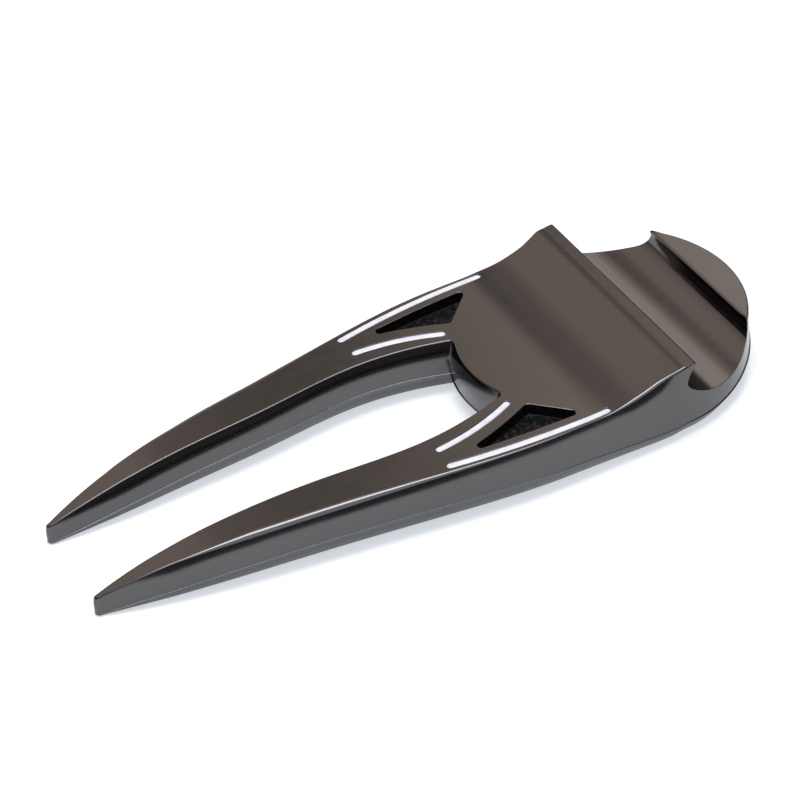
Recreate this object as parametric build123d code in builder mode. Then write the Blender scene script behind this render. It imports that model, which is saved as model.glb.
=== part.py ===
from build123d import *
import os

# A divot repair tool: a one-piece cast fork with enamel-filled lines, and a ball marker
# held by a magnet in the underside of its head.
#
# Millimetres. +X runs from the prong tips to the head, +Z is up, and the origin is the middle
# of the length and width, on the underside. "Station" is the distance towards the head from
# the shoulder of the prongs' rounded tips.

# ---- driving dimensions ---------------------------------------------------------------
LENGTH = 85.3
HEAD_RADIUS = 16.2
BLANK_HEIGHT = 12.0
DRAFT_SLOPE = 0.02
DRAFT_LEVEL = 6.0
TIP_NOSE = 0.3
HEAD_END = LENGTH - TIP_NOSE

# Half-width of the fork's outer edge, by station, up to where the straight cheeks begin.
OUTER_EDGE = [(0.2, 7.22), (8, 9.4), (18, 11.5), (28, 13.05), (40, 14.9), (54, 16.2)]
OUTER_START_SLOPE = 0.3
# Half-width of the slot between the prongs, by station, up to the crotch corners.
SLOT_EDGE = [(0.2, 6.54), (8, 6.17), (17, 6.3), (28, 6.85), (40, 7.75), (50.9, 5.68)]
CROTCH_RADIUS = 15.2

# Height of the top surface along the prongs and the flat, by station.
TOP_LINE = [(0, 2.54), (3, 3.5), (8, 4.75), (16, 5.95), (26, 6.48), (40, 6.83), (57.7, 7.05)]
TOP_START_SLOPE = 0.36
RISE_RADIUS = 23.0
RISE_ANGLE = 21.8
CREST = (68.9, 9.75)
CREST_RADIUS = 1.0
LIP = (70.6, 9.45)

# The shaft rest: a groove across the head, undercut at both lips.
HOOK_MIDDLE = (69.78, 8.3)
HOOK_FOOT = (69.35, 7.1)
HOOK_FOOT_TANGENT = (-0.25, -1.0)
FLOOR_START = (69.75, 6.45)
FLOOR_LOW = (75.4, 4.2)
FLOOR_END = (79.4, 4.95)
FAR_WALL = (80.97, 6.9)
HALF_MOON_EDGE = 80.83
HALF_MOON_TOP = 7.8

# Below the parting line the casting tapers inward, all the way round.
PARTING_HEIGHT = [(0, 0.3), (16, 2.34), (32, 2.8), (48, 2.7), (64, 1.9), (85, 3.2)]
BAND_SLOPE = 0.57
BAND_BLANK_HEIGHT = 4.5
# Shares of that inward slope at the middle of the crotch and, along and across, at its corners.
NOSE_SHARE = 0.1
CORNER_SHARES = (0.42, 0.83)

OVERRUN = 1.0

# Enamel lines.
LINE_WIDTH = 0.85
LINE_FLOOR = 6.5
LINE_BOW = 0.5
OUTER_LINE_ENDS = [(40.4, 13.4), (59.5, 15.0)]
INNER_LINE_ENDS = [(40.7, 10.3), (50.7, 7.65)]

# Triangular pockets.
POCKET_CORNERS = [(42.4, 12.45), (52.6, 8.95), (57.1, 13.6)]
POCKET_CORNER_RADIUS = 0.45
POCKET_INNER_BOW = 0.35
POCKET_OUTER_BOW = 0.2
POCKET_FLOOR = 5.3
POCKET_FILL = 0.25

# Ball marker, its seat in the underside, and its magnet.
SEAT_STATION = 65.0
MARKER_RADIUS = 12.5
MARKER_THICKNESS = 1.6
MARKER_EDGE_ROUND = 0.3
MARKER_RIM = 1.1
MARKER_RECESS = 0.4
MARKER_ENAMEL_SINK = 0.08
SEAT_RADIUS = MARKER_RADIUS + 0.1
SEAT_DEPTH = 1.8
NOTCH_RADIUS = 4.0
NOTCH_OVERLAP = 1.6
NOTCH_DROP = 2.2
MAGNET_RADIUS = 5.0
MAGNET_THICKNESS = 1.5
MAGNET_GLUE = 0.05
MAGNET_CHAMFER = 0.15

SIDES = {1: "right", -1: "left"}
SIT = (Align.CENTER, Align.CENTER, Align.MIN)
SEAT_CENTRE = Vector(SEAT_STATION + TIP_NOSE - LENGTH / 2, 0, 0)
MARKER_BASE = SEAT_CENTRE + Vector(0, 0, SEAT_DEPTH - MARKER_THICKNESS)
MAGNET_BASE = SEAT_CENTRE + Vector(0, 0, SEAT_DEPTH)
NOTCH_CENTRE = SEAT_CENTRE + Vector(SEAT_RADIUS + NOTCH_OVERLAP, 0, -NOTCH_DROP)

os.makedirs("parts", exist_ok=True)


def at(station, across=0.0):
    """The drawing point for a station and a distance across or up."""
    return (station + TIP_NOSE - LENGTH / 2, across)


def parting(station):
    """Height of the parting line at a station, straight between the listed heights."""
    for (x0, z0), (x1, z1) in zip(PARTING_HEIGHT, PARTING_HEIGHT[1:]):
        if station <= x1:
            return z0 + (z1 - z0) * (station - x0) / (x1 - x0)
    return PARTING_HEIGHT[-1][1]


def band_offset(height):
    """How far the lower band's slope stands outside the upright walls at a height, by station."""
    return lambda station: BAND_SLOPE * (height - parting(station))


def draft_offset(height):
    """How far the drafted side walls stand outside the plan outline at a height."""
    return lambda station: DRAFT_SLOPE * (DRAFT_LEVEL - height)


def outline(grow):
    """Draw the fork's plan outline as one closed loop, moved outward by grow(station)."""
    cheek = HEAD_END - HEAD_RADIUS
    corner, corner_half = SLOT_EDGE[-1]
    tip_middle = (OUTER_EDGE[0][1] + SLOT_EDGE[0][1]) / 2
    crotch_centre = corner + (CROTCH_RADIUS**2 - corner_half**2) ** 0.5
    crotch_nose = crotch_centre - CROTCH_RADIUS - NOSE_SHARE * grow(corner)
    corner_grow = grow(corner)
    corner -= CORNER_SHARES[0] * corner_grow
    corner_half -= CORNER_SHARES[1] * corner_grow
    for side in (1, -1):
        outer = [at(s, side * (half + grow(s))) for s, half in OUTER_EDGE]
        slot = [at(s, side * (half - grow(s))) for s, half in SLOT_EDGE[:-1]]
        slot.append(at(corner, side * corner_half))
        Spline(outer, tangents=[(1, side * OUTER_START_SLOPE), (1, 0)])
        Line(outer[-1], at(cheek, side * (HEAD_RADIUS + grow(cheek))))
        ThreePointArc(outer[0], at(-TIP_NOSE - grow(0), side * tip_middle), slot[0])
        Spline(slot)
    EllipticalCenterArc(
        at(cheek),
        HEAD_RADIUS + grow(HEAD_END),
        HEAD_RADIUS + grow(cheek),
        start_angle=-90,
        arc_size=180,
    )
    ThreePointArc(at(corner, corner_half), at(crotch_nose), at(corner, -corner_half))


def section():
    """Draw the long section below the top surface, with the groove across the head."""
    top = [at(s, z) for s, z in TOP_LINE]
    start = at(-OVERRUN, TOP_LINE[0][1] - TOP_START_SLOPE * OVERRUN)
    Line(start, top[0])
    Spline(top, tangents=[(1, TOP_START_SLOPE), (1, 0)])
    rise_centre = (top[-1][0], top[-1][1] + RISE_RADIUS)
    rise = CenterArc(rise_centre, RISE_RADIUS, start_angle=-90, arc_size=RISE_ANGLE)
    FilletPolyline(rise @ 1, at(*CREST), at(*LIP), radius=CREST_RADIUS)
    ThreePointArc(at(*LIP), at(*HOOK_MIDDLE), at(*HOOK_FOOT))
    heel = TangentArc(at(*HOOK_FOOT), at(*FLOOR_START), tangent=HOOK_FOOT_TANGENT)
    floor = ThreePointArc(heel @ 1, at(*FLOOR_LOW), at(*FLOOR_END))
    far_wall = TangentArc(floor @ 1, at(*FAR_WALL), tangent=floor % 1)
    half_moon = at(HALF_MOON_EDGE, HALF_MOON_TOP)
    TangentArc(far_wall @ 1, half_moon, tangent=far_wall % 1)
    end = at(HEAD_END + OVERRUN, HALF_MOON_TOP)
    Polyline(half_moon, end, at(HEAD_END + OVERRUN), at(-OVERRUN), start)


def bowed(start, end, bow):
    """An arc from one point to another, bowed outward from the tool's middle line."""
    side = 1 if start[1] + end[1] > 0 else -1
    middle = ((start[0] + end[0]) / 2, (start[1] + end[1]) / 2 + side * bow)
    return ThreePointArc(start, middle, end)


def mirrored(points, side):
    return [at(s, side * half) for s, half in points]


def enamel_line(ends, side):
    """The plan shape of one enamel line: a narrow bowed slot with round ends."""
    start, end = mirrored(ends, side)
    return SlotArc(bowed(start, end, LINE_BOW), LINE_WIDTH)


def pocket(side):
    """Draw a pocket's three sides as one closed loop, its two long sides bowed."""
    apex, inner, outer = mirrored(POCKET_CORNERS, side)
    bowed(apex, inner, POCKET_INNER_BOW)
    Line(inner, outer)
    bowed(outer, apex, POCKET_OUTER_BOW)


# ---- fork -----------------------------------------------------------------------------
# The blank that gives the lower band its inward slope.
with BuildPart() as band_blank:
    with BuildSketch():
        with BuildLine():
            outline(band_offset(0))
        make_face()
    with BuildSketch(Plane.XY.offset(BAND_BLANK_HEIGHT)):
        with BuildLine():
            outline(band_offset(BAND_BLANK_HEIGHT))
        make_face()
    loft(ruled=True)
    extrude(band_blank.faces().sort_by(Axis.Z)[-1], amount=BLANK_HEIGHT)

with BuildPart() as fork:
    with BuildSketch():
        with BuildLine():
            outline(draft_offset(0))
        make_face()
    with BuildSketch(Plane.XY.offset(BLANK_HEIGHT)):
        with BuildLine():
            outline(draft_offset(BLANK_HEIGHT))
        make_face()
    loft(ruled=True)
    with BuildSketch(Plane.XZ.offset(-LENGTH / 2)):
        with BuildLine():
            section()
        make_face()
    extrude(amount=LENGTH, mode=Mode.INTERSECT)
    add(band_blank.part, mode=Mode.INTERSECT)
    # The enamel lines and the pockets are sunk from the top.
    with BuildSketch(Plane.XY.offset(LINE_FLOOR)):
        for side in (1, -1):
            enamel_line(OUTER_LINE_ENDS, side)
            enamel_line(INNER_LINE_ENDS, side)
    extrude(amount=BLANK_HEIGHT, mode=Mode.SUBTRACT)
    for side in (1, -1):
        with BuildSketch(Plane.XY.offset(POCKET_FLOOR)) as pocket_plan:
            with BuildLine():
                pocket(side)
            make_face()
            fillet(pocket_plan.vertices(), POCKET_CORNER_RADIUS)
        extrude(amount=BLANK_HEIGHT, mode=Mode.SUBTRACT)
    # The marker's seat, the notch for a thumbnail and the magnet's hole are sunk from below.
    with Locations(SEAT_CENTRE):
        Cylinder(SEAT_RADIUS, SEAT_DEPTH, align=SIT, mode=Mode.SUBTRACT)
        Cylinder(MAGNET_RADIUS, SEAT_DEPTH + MAGNET_THICKNESS + MAGNET_GLUE, align=SIT, mode=Mode.SUBTRACT)
    with Locations(NOTCH_CENTRE):
        Sphere(NOTCH_RADIUS, mode=Mode.SUBTRACT)

fork.part.label = "fork"
export_step(fork.part, "parts/fork.step")

# ---- enamel lines and pocket fills ----------------------------------------------------
for side, side_name in SIDES.items():
    for ends, place in ((OUTER_LINE_ENDS, "outer"), (INNER_LINE_ENDS, "inner")):
        with BuildPart() as line_fill:
            with BuildSketch(Plane.XY.offset(LINE_FLOOR)):
                enamel_line(ends, side)
            extrude(amount=BLANK_HEIGHT)
            with BuildSketch(Plane.XZ.offset(-LENGTH / 2)):
                with BuildLine():
                    section()
                make_face()
            extrude(amount=LENGTH, mode=Mode.INTERSECT)
        line_fill.part.label = f"{side_name}_{place}_line"
        export_step(line_fill.part, f"parts/{line_fill.part.label}.step")

    with BuildPart() as pocket_fill:
        with BuildSketch(Plane.XY.offset(POCKET_FLOOR)) as pocket_plan:
            with BuildLine():
                pocket(side)
            make_face()
            fillet(pocket_plan.vertices(), POCKET_CORNER_RADIUS)
        extrude(amount=POCKET_FILL)
    pocket_fill.part.label = f"{side_name}_pocket_fill"
    export_step(pocket_fill.part, f"parts/{pocket_fill.part.label}.step")

# ---- magnet ---------------------------------------------------------------------------
with BuildPart() as magnet:
    with Locations(MAGNET_BASE):
        Cylinder(MAGNET_RADIUS - MAGNET_GLUE, MAGNET_THICKNESS, align=SIT)
    chamfer(magnet.edges().filter_by(GeomType.CIRCLE), MAGNET_CHAMFER)
magnet.part.label = "magnet"
export_step(magnet.part, "parts/magnet.step")

# ---- ball marker ----------------------------------------------------------------------
with BuildPart() as ball_marker:
    with Locations(MARKER_BASE):
        Cylinder(MARKER_RADIUS, MARKER_THICKNESS, align=SIT)
    fillet(ball_marker.edges().filter_by(GeomType.CIRCLE), MARKER_EDGE_ROUND)
    with Locations(MARKER_BASE):
        Cylinder(MARKER_RADIUS - MARKER_RIM, MARKER_RECESS, align=SIT, mode=Mode.SUBTRACT)
ball_marker.part.label = "ball_marker"
export_step(ball_marker.part, "parts/ball_marker.step")

with BuildPart() as marker_enamel:
    with Locations(MARKER_BASE + Vector(0, 0, MARKER_ENAMEL_SINK)):
        Cylinder(MARKER_RADIUS - MARKER_RIM, MARKER_RECESS - MARKER_ENAMEL_SINK, align=SIT)
marker_enamel.part.label = "marker_enamel"
export_step(marker_enamel.part, "parts/marker_enamel.step")
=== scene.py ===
import math

import bpy
import numpy as np
from mathutils import Matrix, Vector
from mathutils.geometry import delaunay_2d_cdt


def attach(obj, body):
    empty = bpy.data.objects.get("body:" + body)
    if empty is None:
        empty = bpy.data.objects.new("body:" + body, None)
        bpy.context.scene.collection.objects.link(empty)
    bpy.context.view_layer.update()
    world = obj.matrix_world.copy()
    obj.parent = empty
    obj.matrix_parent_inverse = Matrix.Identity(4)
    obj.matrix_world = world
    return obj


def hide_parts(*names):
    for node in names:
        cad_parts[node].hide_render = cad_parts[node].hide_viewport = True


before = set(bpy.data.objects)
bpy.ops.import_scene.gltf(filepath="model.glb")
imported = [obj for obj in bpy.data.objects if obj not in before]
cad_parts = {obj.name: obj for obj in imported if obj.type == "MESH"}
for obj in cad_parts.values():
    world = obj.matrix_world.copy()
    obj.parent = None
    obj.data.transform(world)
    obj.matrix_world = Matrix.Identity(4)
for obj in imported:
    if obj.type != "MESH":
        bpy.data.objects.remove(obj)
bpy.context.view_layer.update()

# A divot repair tool: a polished black-nickel fork with enamel lines, black pockets, a groove
# that rests a club shaft, and a ball marker held by a magnet in the underside of the head.
#
# Shapes are worked out in millimetres and become metres when a mesh is made. A "station" is the
# distance along the tool from the shoulder of the prong tips, and a "height" is above the floor.

MM = 0.001
LENGTH = 85.3
TIP_NOSE = 0.3
HEAD_END = LENGTH - TIP_NOSE
STATION_ZERO = TIP_NOSE - LENGTH / 2

# ---- shape of the fork ----------------------------------------------------------------
HEAD_RADIUS = 16.2
OUTER_EDGE = [(0.2, 7.22), (8, 9.4), (18, 11.5), (28, 13.05), (40, 14.9), (54, 16.2)]
OUTER_SLOPES = (0.3, 0.0)
SLOT_EDGE = [(0.2, 6.54), (8, 6.17), (17, 6.3), (28, 6.85), (40, 7.75), (50.9, 5.68)]
SLOT_SLOPES = (-0.07, -0.33)
CROTCH_RADIUS = 15.2
CROTCH_CORNER = 0.35
SHOULDER_ROUND = 0.12
DRAFT_SLOPE = 0.02
DRAFT_LEVEL = 6.0
PARTING_HEIGHT = [
    (0, 0.3), (16, 2.5), (32, 3.0), (48, 2.8), (64, 1.95),
    (73, 1.7), (80, 2.4), (85, 3.1),
]
PARTING_SLOPES = (0.2, 0.12)
BAND_SLOPE = 0.57
FOOT_ROUND = 0.2
FOOT_ROUND_SHARE = 0.25

TOP_LINE = [(0, 2.54), (3, 3.5), (8, 4.75), (16, 5.95), (26, 6.48), (40, 6.83), (57.7, 7.05)]
TOP_SLOPES = (0.36, 0.0)
RISE_RADIUS = 23.0
RISE_ANGLE = math.radians(21.8)
CREST = (68.6, 9.62)
CREST_ROUND = 4.0
LIP = (70.36, 9.73)
LIP_FACE = (70.7, 9.57)
# Both rounds stay larger than GROOVE_ROUND, or the rim would cross itself as it turns the lip.
LIP_ROUND = 0.1
LIP_FACE_ROUND = 0.075
HOOK_MIDDLE = (69.78, 8.3)
HOOK_FOOT = (69.35, 7.1)
FLOOR_START = (69.75, 6.45)
HEEL_ROUND = 0.5
FLOOR_LOW = (75.4, 4.2)
FLOOR_END = (79.4, 4.95)
FAR_WALL = (80.97, 6.9)
FAR_WALL_BOW = (0.22, -0.22)
FAR_LIP = (81.0, 7.35)
HALF_MOON = (80.83, 7.8)
HALF_MOON_ROUND = 0.25

# Radius of the polished round along the top edge, by station, outside and in the slot.
OUTER_ROUND = [
    (0, 0.28), (4, 0.22), (9, 0.24), (13, 0.6), (17, 1.0), (28, 1.0),
    (40, 0.5), (47, 0.28), (60, 0.26), (62.5, 0.6), (66, 0.6), (67.5, 0.35),
]
SLOT_ROUND = [(0, 0.28), (4, 0.22), (51, 0.25)]
GROOVE_ROUND = 0.06
HALF_MOON_RIM = 0.25
GROOVE_STATIONS = (67.5, 81.8)
# How far along the section the rim's radius changes: from before the crest to past it, and past
# the half-moon's edge. The crest's own points start no more than BEFORE_CREST before it.
GROOVE_BLEND = (-1.2, 0.2)
HALF_MOON_BLEND = 1.5
BEFORE_CREST = 40

# The walls lean in towards the top edge, by LEAN at the edge and easing to none LEAN_DEPTH below
# it, and they swell out to make room for that. Shares of the full lean are by station.
LEAN = math.radians(26)
LEAN_DEPTH = 2.6
LEAN_SWELL = 0.33
OUTER_LEAN = [
    (-0.3, 0.5), (3, 0.75), (8, 1.05), (20, 0.92), (36, 1),
    (59.5, 0.97), (63.5, 1.04), (66, 1.04), (67.5, 0.85), (69.2, 0),
]
SLOT_LEAN = [(-0.3, 0.5), (3, 0.72), (9, 0.95), (51, 0.95)]
LEAN_EASE = 1.15
LEAN_STEPS = 7

LINE_WIDTH = 0.85
LINE_BOW = 0.5
LINE_FLOOR = 6.5
LINE_ROUND = 0.07
OUTER_LINE_ENDS = [(40.4, 13.4), (59.5, 15.0)]
INNER_LINE_ENDS = [(40.7, 10.3), (50.7, 7.65)]
POCKET_CORNERS = [(42.4, 12.45), (52.6, 8.95), (57.1, 13.6)]
POCKET_BOWS = (0.35, 0.0, 0.2)
POCKET_CORNER_ROUND = 0.45
POCKET_ROUND = 0.16
POCKET_FLOOR = 5.3
POCKET_FILL = 0.25

SEAT_STATION = 65.0
SEAT_RADIUS = 12.6
SEAT_DEPTH = 1.8
SEAT_ROUND = 0.12
MAGNET_HOLE_RADIUS = 5.0
MAGNET_HOLE_TOP = 3.35
NOTCH_STATION = 79.2
NOTCH_RADIUS = 4.0
NOTCH_DROP = 2.2

MARKER_LOW = 0.2
MARKER_TOP = 1.8
MARKER_RADIUS = 12.5
MARKER_RIM = 1.1
MARKER_RECESS = 0.4
MAGNET_RADIUS = 4.95
MAGNET_TOP = 3.3
# Radii of the corners of the turned pieces' sections, in order, and the enamel's depth in its rim.
MAGNET_ROUNDS = [0.2, 0.2]
MARKER_ROUNDS = [0.02, 0.14, 0.3, 0.3]
FACE_ROUNDS = [0.3, 0.02, 0.02]
FACE_SINK = 0.1
# The enamel's low dome: its rise at the middle, at a shoulder this far in, and its drop at the rim.
FACE_CROWN = 0.03
FACE_SHOULDER = 0.5
FACE_SHOULDER_RISE = 0.02
FACE_DROP = 0.03

# Rings of an enamel line's dome: how far in from the slot's wall, its outward tilt, and its rise.
ENAMEL_DOME = [
    (0, 1.0, -0.09), (0.05, 0.8, -0.05), (0.12, 0.45, -0.02),
    (0.22, 0.2, 0), (0.33, 0.08, 0.01), (0.4, 0, 0.012),
]
# The enamel's uneven edge and surface: each wave's height and its turns per millimetre in radians.
RAGGED = ((0.006, 2.9), (0.004, 7.3))
SWELL = ((0.006, 1.3), (0.004, 4.1))
RAGGED_WITHIN = 0.3
SWELL_PAST = 0.02

# The pockets' coarse black enamel: the spacing of its grains, and how far they stand up or sink.
GRAIN = 0.22
GRAIN_HEIGHT = 0.035
GRAIN_STRAY = 0.3
GRAIN_TILT = 0.5
# How the enamel pools up the pocket's sides: how far in, how high above its level, and its tilt.
POOL_EDGE = ((0.0, 0.1, 1.2), (0.03, 0.05, 0.8), (0.07, 0.0, 0.3))

# The bead at the parting line: how far out from the wall, how far up, and its tilt upward in degrees.
BEAD = [(0.0, 0.13, 0), (0.03, 0.1, 52), (0.08, 0.06, 64), (0.1, 0.04, 40), (0.1, -0.03, -20)]

# Steps round an edge, the spacing of the wall's columns and the most that each turns, and how
# near the spare points of a face come to its border.
ROUND_STEPS = 5
FINE_STEPS = 3
COLUMN_GAP = 0.45
COLUMN_TURN = math.radians(9)
FACE_MARGIN = 0.3
UNDERSIDE_MARGIN = 0.8
POOL_MARGIN = 0.12
# A triangle thinner than this has no area worth keeping.
THINNEST = 2e-4
SIDES = {"right": 1, "left": -1}


# ---- curves ---------------------------------------------------------------------------
def cubic(knots, slopes):
    """A smooth curve through knots as a function of its first coordinate, with set end slopes."""
    x, y = np.array(knots, float).T
    n = len(x)
    h = np.diff(x)
    rise = np.diff(y) / h
    rows = np.zeros((n, n))
    want = np.zeros(n)
    rows[0, 0] = rows[-1, -1] = 1
    want[0], want[-1] = slopes
    for i in range(1, n - 1):
        rows[i, i - 1 : i + 2] = h[i], 2 * (h[i - 1] + h[i]), h[i - 1]
        want[i] = 3 * (h[i] * rise[i - 1] + h[i - 1] * rise[i])
    slope = np.linalg.solve(rows, want)

    def value(at):
        at = np.asarray(at, float)
        i = np.clip(np.searchsorted(x, at) - 1, 0, n - 2)
        u = (at - x[i]) / h[i]
        inner = (
            y[i] * (1 + 2 * u) * (1 - u) ** 2
            + y[i + 1] * u * u * (3 - 2 * u)
            + h[i] * slope[i] * u * (1 - u) ** 2
            + h[i] * slope[i + 1] * u * u * (u - 1)
        )
        before = y[0] + slope[0] * (at - x[0])
        after = y[-1] + slope[-1] * (at - x[-1])
        return np.where(at < x[0], before, np.where(at > x[-1], after, inner))

    return value


def arc_through(start, middle, end, step):
    """Points on the circle through three points, from the first to the last."""
    a, b, c = (np.array(p, float) for p in (start, middle, end))
    rows = 2 * np.array([b - a, c - a])
    centre = np.linalg.solve(rows, [b @ b - a @ a, c @ c - a @ a])
    radius = np.linalg.norm(a - centre)
    turns = [math.atan2(*(p - centre)[::-1]) for p in (a, b, c)]
    sweep = (turns[2] - turns[0]) % (2 * math.pi)
    if (turns[1] - turns[0]) % (2 * math.pi) > sweep:
        sweep -= 2 * math.pi
    count = max(3, math.ceil(abs(sweep) * radius / step))
    angles = turns[0] + sweep * np.linspace(0, 1, count + 1)
    return centre + radius * np.column_stack([np.cos(angles), np.sin(angles)])


def bowed(start, end, bow, step):
    """An arc between two points, bowed across the tool by a distance."""
    middle = (np.array(start, float) + end) / 2 + [0, bow]
    if abs(bow) < 1e-6:
        count = max(2, math.ceil(math.dist(start, end) / step))
        return np.linspace(start, end, count + 1)
    return arc_through(start, middle, end, step)


def cut_short(points, distance):
    """The points of a line that lie further than a distance from its last one."""
    gap = np.linalg.norm(points - points[-1], axis=1)
    keep = gap > distance
    return points[keep]


def joined(runs, radii, steps=6):
    """Runs of points joined end to end, each corner rounded to a radius where that isn't zero."""
    line = np.array(runs[0], float)
    for run, radius in zip(runs[1:], radii):
        run = np.array(run, float)
        corner = run[0]
        if radius == 0:
            line = np.vstack([line, run[1:]])
            continue
        back, ahead = unit(line[-2] - corner), unit(run[1] - corner)
        for _ in range(2):
            half = math.acos(max(-1.0, back @ ahead)) / 2
            cut = radius / math.tan(half)
            before, after = cut_short(line, cut), cut_short(run[::-1], cut)[::-1]
            back, ahead = unit(before[-1] - corner), unit(after[0] - corner)
        start, end = corner + back * cut, corner + ahead * cut
        centre = corner + unit(back + ahead) * math.hypot(cut, radius)
        turn = math.pi - 2 * half
        share = np.linspace(0, 1, steps + 1)[:, None]
        arc = np.sin((1 - share) * turn) * (start - centre) + np.sin(share * turn) * (end - centre)
        line = np.vstack([before, centre + arc / math.sin(turn), after])
    return line


def tangents(points, closed=False):
    """Unit directions along a line of points."""
    if closed:
        way = np.roll(points, -1, axis=0) - np.roll(points, 1, axis=0)
    else:
        way = np.gradient(points, axis=0)
    return way / np.linalg.norm(way, axis=1)[:, None]


def lengths(points):
    return np.concatenate([[0], np.cumsum(np.linalg.norm(np.diff(points, axis=0), axis=1))])


def unit(vectors):
    return vectors / np.linalg.norm(vectors, axis=-1, keepdims=True)


# ---- meshes ---------------------------------------------------------------------------
def into_loop(loop):
    """Unit directions from a closed loop's points towards its inside."""
    way = tangents(loop, closed=True)
    area = np.sum(loop[:, 0] * np.roll(loop[:, 1], -1) - loop[:, 1] * np.roll(loop[:, 0], -1))
    return np.column_stack([-way[:, 1], way[:, 0]]) * np.sign(area)


def inside(points, loops):
    """Which flat points lie within closed loops, where a loop inside another is a hole."""
    x, y = points[:, :1], points[:, 1:]
    found = np.zeros(len(points), bool)
    for loop in loops:
        ax, ay = loop.T
        bx, by = np.roll(loop, -1, axis=0).T
        spans = (ay > y) != (by > y)
        rise = np.where(by == ay, 1e-12, by - ay)
        found ^= ((spans & (x < ax + (y - ay) * (bx - ax) / rise)).sum(1) % 2).astype(bool)
    return found


def grid_within(loops, xs, ys, margin):
    """Grid points within the loops, no nearer to them than a margin."""
    grid = np.array([(x, y) for x in xs for y in ys])
    grid = grid[inside(grid, loops)]
    rim = np.vstack(loops)
    near = [np.min(np.hypot(*(rim - p).T)) for p in grid]
    return grid[np.array(near) > margin]


class Skin:
    """Points with normals in millimetres (station, across, height), and the faces between them."""

    def __init__(self):
        self.points = np.zeros((0, 3))
        self.normals = np.zeros((0, 3))
        self.faces = []

    def add(self, points, normals):
        first = len(self.points)
        normals = np.broadcast_to(np.asarray(normals, float), np.shape(points))
        self.points = np.vstack([self.points, points])
        self.normals = np.vstack([self.normals, unit(normals)])
        return np.arange(first, len(self.points))

    def strip(self, row_a, row_b, closed=True):
        """Quads between two rows of points."""
        count = len(row_a) if closed else len(row_a) - 1
        for i in range(count):
            j = (i + 1) % len(row_a)
            self.faces.append((row_a[i], row_a[j], row_b[j], row_b[i]))

    def rows(self, rows, closed=True):
        for row_a, row_b in zip(rows, rows[1:]):
            self.strip(row_a, row_b, closed)

    def patch(self, rings, flats, spare_flat, spare_ids):
        """Triangles over the region within flat rings, through the spare points."""
        ids = np.concatenate([*rings, spare_ids]).astype(int)
        flat = np.vstack([*flats, spare_flat]) if len(spare_flat) else np.vstack(flats)
        edges, first = [], 0
        for ring in rings:
            n = len(ring)
            edges += [(first + i, first + (i + 1) % n) for i in range(n)]
            first += n
        made = delaunay_2d_cdt([Vector(p) for p in flat], edges, [], 0, 1e-7)
        back = [origin[0] if origin else None for origin in made[3]]
        if None in back:
            raise RuntimeError("a patch's border crosses itself")
        triangles = np.array([[back[v] for v in face] for face in made[2]])
        corners = flat[triangles]
        sides = np.linalg.norm(corners - np.roll(corners, 1, axis=1), axis=2)
        first, second = corners[:, 1] - corners[:, 0], corners[:, 2] - corners[:, 0]
        area = abs(first[:, 0] * second[:, 1] - first[:, 1] * second[:, 0])
        solid = area > THINNEST * sides.max(axis=1)
        for triangle in triangles[solid & inside(corners.mean(axis=1), flats)]:
            self.faces.append(tuple(ids[triangle]))

    def piece(self, name):
        """The mesh object, its faces turned to agree with the normals and its seams welded."""
        spots, spot_of = np.unique(np.round(self.points, 5), axis=0, return_inverse=True)
        spot_of = spot_of.ravel()
        faces, corners = [], []
        for face in self.faces:
            face = [v for i, v in enumerate(face) if spot_of[v] != spot_of[face[i - 1]]]
            if len(face) < 3 or len({spot_of[v] for v in face}) < len(face):
                continue
            a, b, c = (self.points[v] for v in (face[0], face[1], face[-1]))
            if np.cross(b - a, c - a) @ self.normals[face].sum(axis=0) < 0:
                face = face[::-1]
            faces.append([int(spot_of[v]) for v in face])
            corners += [self.normals[v] for v in face]
        mesh = bpy.data.meshes.new(name)
        spots = (spots + [STATION_ZERO, 0, 0]) * MM
        mesh.from_pydata(spots.tolist(), [], faces)
        mesh.shade_smooth()
        mesh.normals_split_custom_set([tuple(n) for n in corners])
        piece = bpy.data.objects.new(name, mesh)
        bpy.context.scene.collection.objects.link(piece)
        return piece


def rounded_edge(corner, normal_a, normal_b, radius, steps=ROUND_STEPS):
    """Rows of points and normals round an edge, from the face with normal_a to that with normal_b."""
    radius = np.broadcast_to(np.asarray(radius, float), len(corner))[:, None]
    dot = np.sum(normal_a * normal_b, axis=1, keepdims=True)
    centre = corner - radius * (normal_a + normal_b) / (1 + dot)
    angle = np.arccos(np.clip(dot, -1, 1))
    rows = []
    for share in np.linspace(0, 1, steps + 1):
        normal = (np.sin((1 - share) * angle) * normal_a + np.sin(share * angle) * normal_b) / np.sin(angle)
        rows.append((centre + radius * normal, normal))
    return rows


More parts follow.
